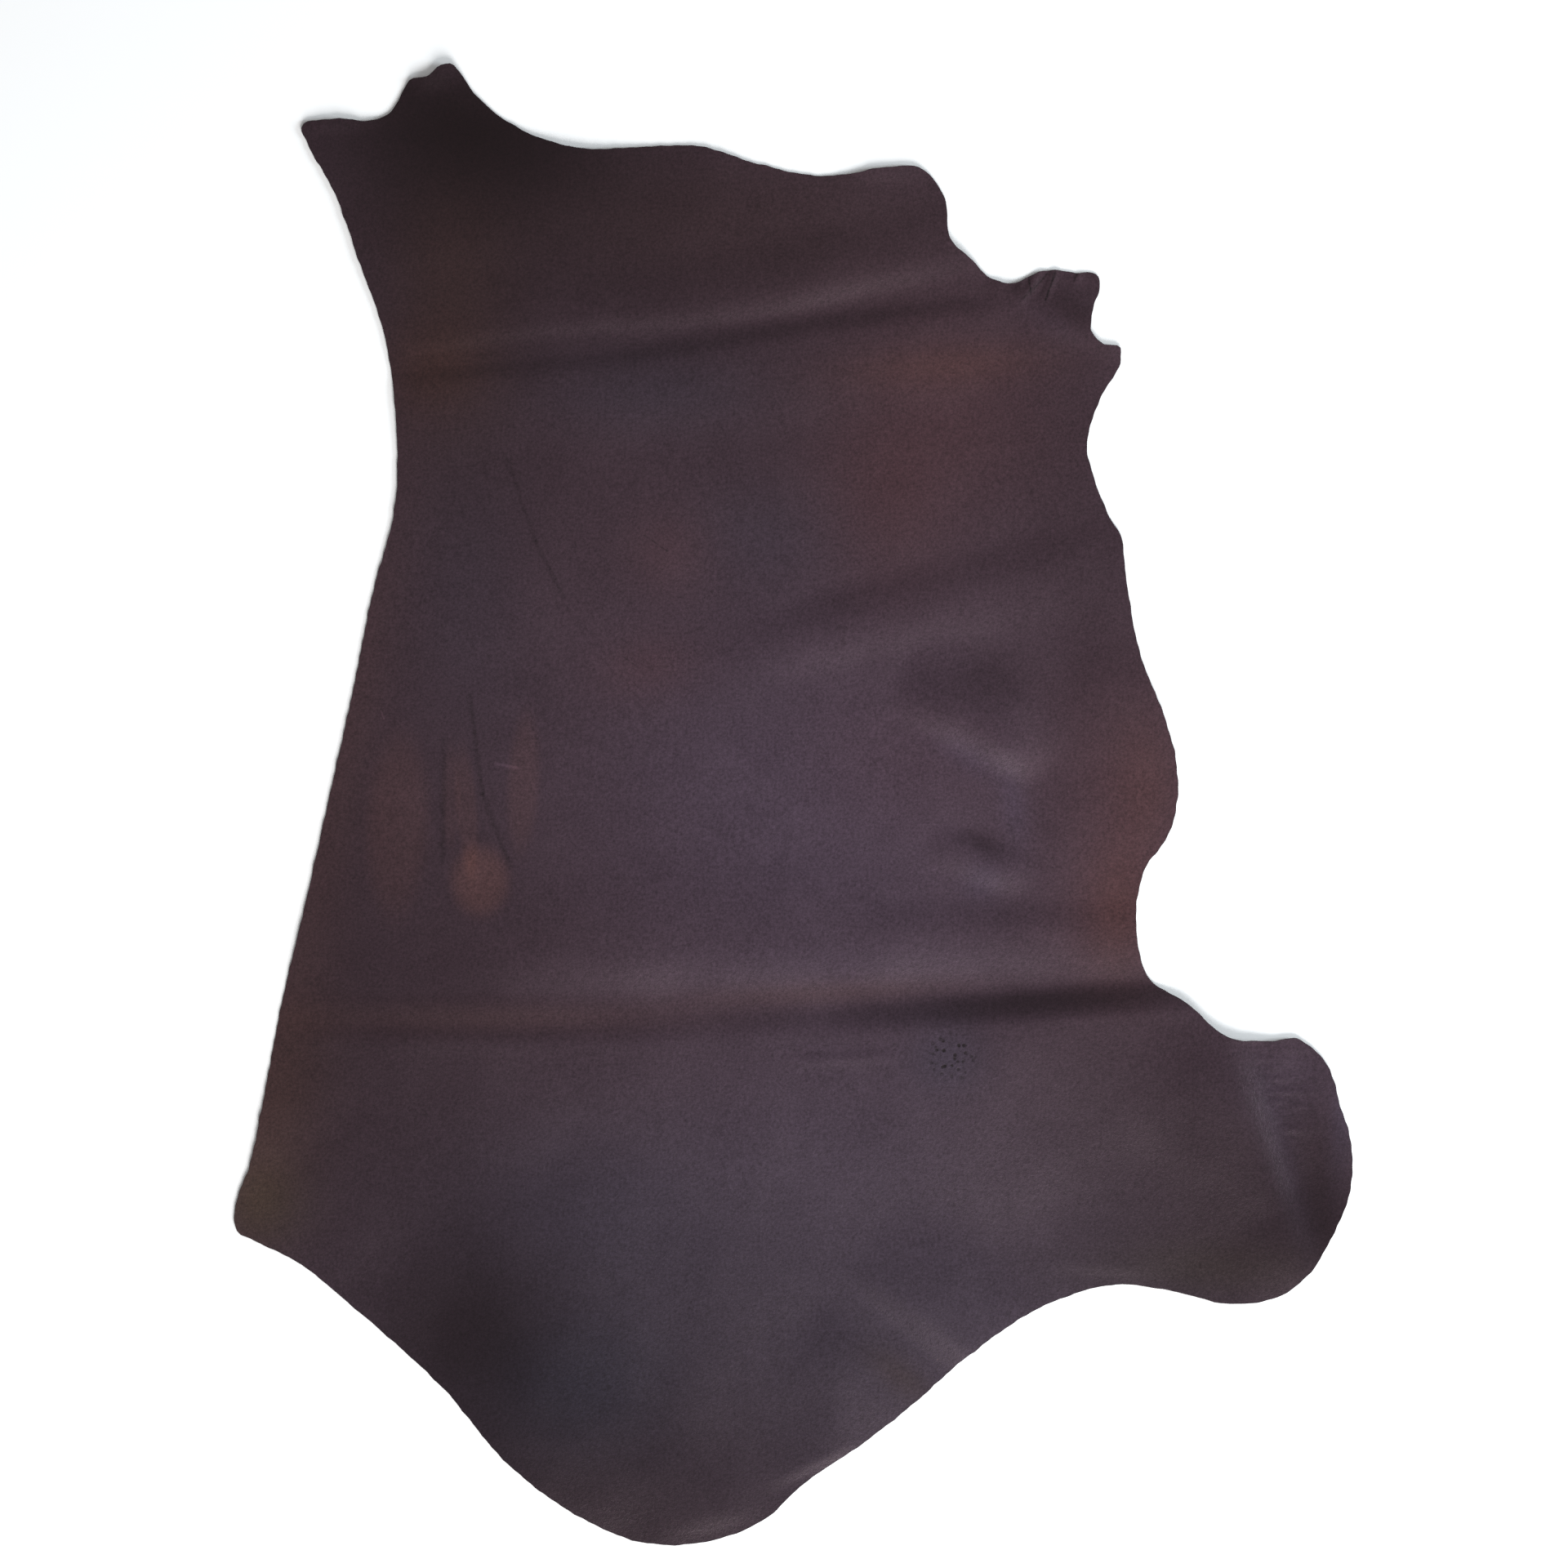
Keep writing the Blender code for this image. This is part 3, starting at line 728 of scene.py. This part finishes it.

# %% [markdown]
# ## The grain finish
#
# Full grain shows the skin itself: a fine pebble of pores about a millimetre and a half apart, broader
# cells where the skin was loose, and dye that pools a little darker here and there. The pigment is
# nearly black. What the eye takes for its colour is mostly the wax's own soft gloss, so roughness
# matters more than colour, and it wanders a little from place to place. Old scratches are dark lines,
# the dark lines in the armpit creases are painted shade, and a negative depth makes a pale scar. Round
# the navel the follicles show.

# %% Grain side
PIGMENT = (0.0318, 0.0172, 0.0242, 1.0)
GLOSS_TINT = (1.0, 0.80, 0.85, 1.0)
STREAK_SCALES = (150.0, 60.0, 1.0)
WRINKLE_SCALES = (190.0, 130.0, 1.0)
FOLLICLE_SCALE = 120.0
PORE_SCALE = 620.0
Relief = namedtuple("Relief", "distance strength")
WRINKLE_RELIEF = Relief(0.0008, 0.38)
CELL_RELIEF = Relief(0.0004, 0.36)
PORE_RELIEF = Relief(0.00025, 0.30)
FOLLICLE_RELIEF = Relief(0.0003, 0.5)
IN_PLAN = (1.0, 1.0, 0.0)
Scratch = namedtuple("Scratch", "start end width depth")
SCRATCHES_AND_CREASE_SHADE = [
    Scratch((-0.397, 0.479), (-0.358, 0.365), 0.0055, 0.35),
    Scratch((-0.358, 0.365), (-0.318, 0.286), 0.0055, 0.45),
    Scratch((-0.448, 0.150), (-0.431, 0.015), 0.0055, 0.45),
    Scratch((-0.431, 0.015), (-0.392, -0.087), 0.0055, 0.5),
    Scratch((-0.484, 0.090), (-0.486, -0.080), 0.0070, 0.4),
    Scratch((-0.412, 0.056), (-0.382, 0.050), 0.0040, -1.0),
    Scratch((-0.571, 0.129), (-0.567, 0.118), 0.0022, -1.2),
    # These five lines are painted shade in the armpit creases, not scratches.
    Scratch((0.363, 0.737), (0.349, 0.698), 0.0028, 1.0),
    Scratch((0.352, 0.735), (0.332, 0.712), 0.0024, 0.9),
    Scratch((0.343, 0.730), (0.314, 0.695), 0.0026, 0.5),
    Scratch((0.326, 0.728), (0.329, 0.707), 0.0026, 0.9),
    Scratch((0.393, 0.735), (0.389, 0.725), 0.0024, 0.9),
    Scratch((-0.206, 0.372), (-0.174, 0.350), 0.0022, 0.5),
    Scratch((-0.150, 0.236), (-0.120, 0.246), 0.0022, 0.5),
    Scratch((-0.236, 0.205), (-0.214, 0.188), 0.0020, 0.4),
]
NAVEL = (0.218, -0.347)
NAVEL_REACH = 0.046


def scratch_mask(finish, scratch):
    """1 along the straight line from start to end, fading to 0 at width from it.

    The distance is that from the place to its nearest point on the line: start + t (end - start),
    with t = (place - start) . (end - start) / length^2, kept between 0 and 1.
    """
    start, end = (*scratch.start, 0.0), (*scratch.end, 0.0)
    along = tuple(b - a for a, b in zip(start, end))
    square = sum(side * side for side in along)
    flat = finish.vector("MULTIPLY", finish.place, IN_PLAN)
    offset = finish.vector("SUBTRACT", flat, start)
    share = finish.vector("DOT_PRODUCT", offset, along, output="Value") * (1 / square)
    share = finish.node("ShaderNodeClamp", None, share)
    nearest = finish.vector("SCALE", along, Scale=share)
    distance = finish.vector("LENGTH", finish.vector("SUBTRACT", offset, nearest), output="Value")
    return finish.fade(distance, scratch.width, 0.0)


def grain_finish():
    """The grain side: pigment times tint times a mottled tone, with soft gloss and four fine reliefs."""
    finish = Finish("waxed_burgundy_grain", Specular_IOR_Level=0.42, Specular_Tint=GLOSS_TINT)
    clouds = finish.noise(7.0, 4.0, 0.55)
    patches = finish.noise(26.0, 4.0, 0.6)
    mottle = finish.noise(260.0, 3.0, 0.75)
    streaks = finish.noise(1.0, 3.0, 0.65, finish.vector("MULTIPLY", finish.place, STREAK_SCALES))
    tone = 0.30 * clouds + 0.25 * patches + 2.00 * mottle + 0.45 * streaks - 0.50

    scratches_and_crease_shade = sum(scratch_mask(finish, scratch) * scratch.depth for scratch in SCRATCHES_AND_CREASE_SHADE)
    from_navel = finish.vector("DISTANCE", finish.vector("MULTIPLY", finish.place, IN_PLAN),
                               (*NAVEL, 0.0), output="Value")
    follicle = finish.cells(FOLLICLE_SCALE)
    follicles = finish.fade(follicle, 0.42, 0.22) * finish.fade(from_navel, NAVEL_REACH, NAVEL_REACH * 0.3)
    tone = tone - 0.70 * scratches_and_crease_shade - 0.90 * follicles

    tint = finish.node("ShaderNodeAttribute", {"attribute_name": "tint"}, output="Color")
    polish = finish.node("ShaderNodeAttribute", {"attribute_name": "tint"}, output="Alpha")
    grey = finish.node("ShaderNodeCombineColor", None, tone, tone, tone)
    finish.feed(finish.shader.inputs["Base Color"], finish.times(finish.times(PIGMENT, tint), grey))
    roughness = (0.27 + 0.12 * clouds + 0.08 * patches + 0.12 * mottle) * polish
    finish.feed(finish.shader.inputs["Roughness"], roughness)

    wrinkle = finish.noise(1.0, 3.0, 0.65, finish.vector("MULTIPLY", finish.place, WRINKLE_SCALES))
    loose_cells = finish.noise(330.0, 3.0, 0.6)
    normal = finish.bump(wrinkle, *WRINKLE_RELIEF)
    normal = finish.bump(loose_cells, *CELL_RELIEF, normal)
    normal = finish.bump(finish.cells(PORE_SCALE), *PORE_RELIEF, normal)
    normal = finish.bump(0.0 - follicles, *FOLLICLE_RELIEF, normal)
    finish.feed(finish.shader.inputs["Normal"], normal)
    return finish.material


def edge_finish():
    """The cut edge: bare fibre, dyed through, darker than the grain and without gloss."""
    finish = Finish("cut_edge_fibre", Roughness=0.8)
    fibre = finish.noise(400.0, 3.0, 0.7)
    pigment = finish.blend(fibre, (0.010, 0.006, 0.007, 1.0), (0.030, 0.017, 0.018, 1.0))
    finish.feed(finish.shader.inputs["Base Color"], pigment)
    finish.feed(finish.shader.inputs["Normal"], finish.bump(fibre, 0.0004, 0.6))
    return finish.material


def flesh_finish():
    """The flesh side: a short brushed nap, paler and without gloss."""
    finish = Finish("flesh_side_nap", Roughness=0.95, Sheen_Weight=0.25, Sheen_Roughness=0.6)
    nap = finish.noise(1.0, 4.0, 0.65, finish.vector("MULTIPLY", finish.place, (260.0, 120.0, 1.0)))
    patches = finish.noise(14.0, 4.0, 0.6)
    tone = 0.55 * nap + 0.45 * patches
    pigment = finish.blend(tone, (0.055, 0.026, 0.024, 1.0), (0.150, 0.085, 0.070, 1.0))
    finish.feed(finish.shader.inputs["Base Color"], pigment)
    finish.feed(finish.shader.inputs["Normal"], finish.bump(nap, 0.0008, 0.6))
    return finish.material


for material in (grain_finish(), edge_finish(), flesh_finish()):
    hide_mesh.materials.append(material)
print("finishes:", [material.name for material in hide_mesh.materials])

# %% [markdown]
# ## Take the solid's place
#
# The sheet stands for the imported solid: it rides on the same body, and the solid is hidden. The
# area that it was cut to is worked out from the outline and printed.

SQUARE_FOOT = 0.0929
outline_next = np.roll(edge, -1, axis=0)
flat_area = abs((edge[:, 0] * outline_next[:, 1] - outline_next[:, 0] * edge[:, 1]).sum()) / 2 * scale ** 2
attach(leather_side, "root")
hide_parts("hide")
print("cut area:", round(flat_area, 3), "m2, or", round(flat_area / SQUARE_FOOT, 1), "square feet")

# %% [markdown]
# ## Studio
#
# The hide lies on a pale floor that is lit until it is nearly white. One broad softbox low at the
# near side rakes across the folds, so the flanks that face it shine and the others fall dark. A
# smaller, cooler one at the right picks out the hind shank. The camera looks straight down through a
# long lens, which keeps the outline true.

# %% Floor
FLOOR_SIZE = 14.0
FLOOR_DROP = 0.0006
FLOOR_COLOUR = (0.93, 0.93, 0.93, 1.0)


def floor():
    """A plain square plane a hair below the hide, so that the two never share a surface."""
    finish = Finish("pale_floor", Base_Color=FLOOR_COLOUR, Roughness=0.9)
    bpy.ops.mesh.primitive_plane_add(size=FLOOR_SIZE, location=(0, 0, -FLOOR_DROP))
    plane = bpy.context.object
    plane.name = "floor"
    plane.data.materials.append(finish.material)


floor()
print("floor:", FLOOR_SIZE, "m")

# %% Lights and camera
Softbox = namedtuple("Softbox", "name place size watts colour")
SOFTBOXES = [
    Softbox("key", (1.7, -5.4, 3.8), 3.8, 650, (1.0, 1.0, 1.0)),
    Softbox("side", (6.5, 0.3, 2.6), 2.6, 480, (0.85, 0.94, 1.0)),
]
ROOM_LIGHT = 0.37
SENSOR_WIDTH = 36.0
CAMERA_DISTANCE = 6.0
VIEW_WIDTH = 2.1725
VIEW_CENTRE = (-0.013, 0.028)


def softbox(box):
    """A square area light that faces the middle of the hide."""
    data = bpy.data.lights.new(box.name, "AREA")
    data.shape, data.size, data.energy, data.color = "SQUARE", box.size, box.watts, box.colour
    light = bpy.data.objects.new(box.name, data)
    light.location = box.place
    light.rotation_euler = (-Vector(box.place)).to_track_quat("-Z", "Y").to_euler()
    bpy.context.scene.collection.objects.link(light)


def camera():
    """A camera straight above, with a lens as long as its distance over the width of its view."""
    data = bpy.data.cameras.new("camera")
    data.sensor_width = SENSOR_WIDTH
    data.lens = SENSOR_WIDTH * CAMERA_DISTANCE / VIEW_WIDTH
    view = bpy.data.objects.new("camera", data)
    view.location = (*VIEW_CENTRE, CAMERA_DISTANCE)
    bpy.context.scene.collection.objects.link(view)
    bpy.context.scene.camera = view


for box in SOFTBOXES:
    softbox(box)
camera()
world = bpy.data.worlds.new("studio")
world.use_nodes = True
world.node_tree.nodes["Background"].inputs["Color"].default_value = (1.0, 1.0, 1.0, 1.0)
world.node_tree.nodes["Background"].inputs["Strength"].default_value = ROOM_LIGHT
bpy.context.scene.world = world
bpy.context.scene.view_settings.view_transform = "Standard"
print("lights:", [box.name for box in SOFTBOXES], "lens", round(bpy.context.scene.camera.data.lens), "mm")
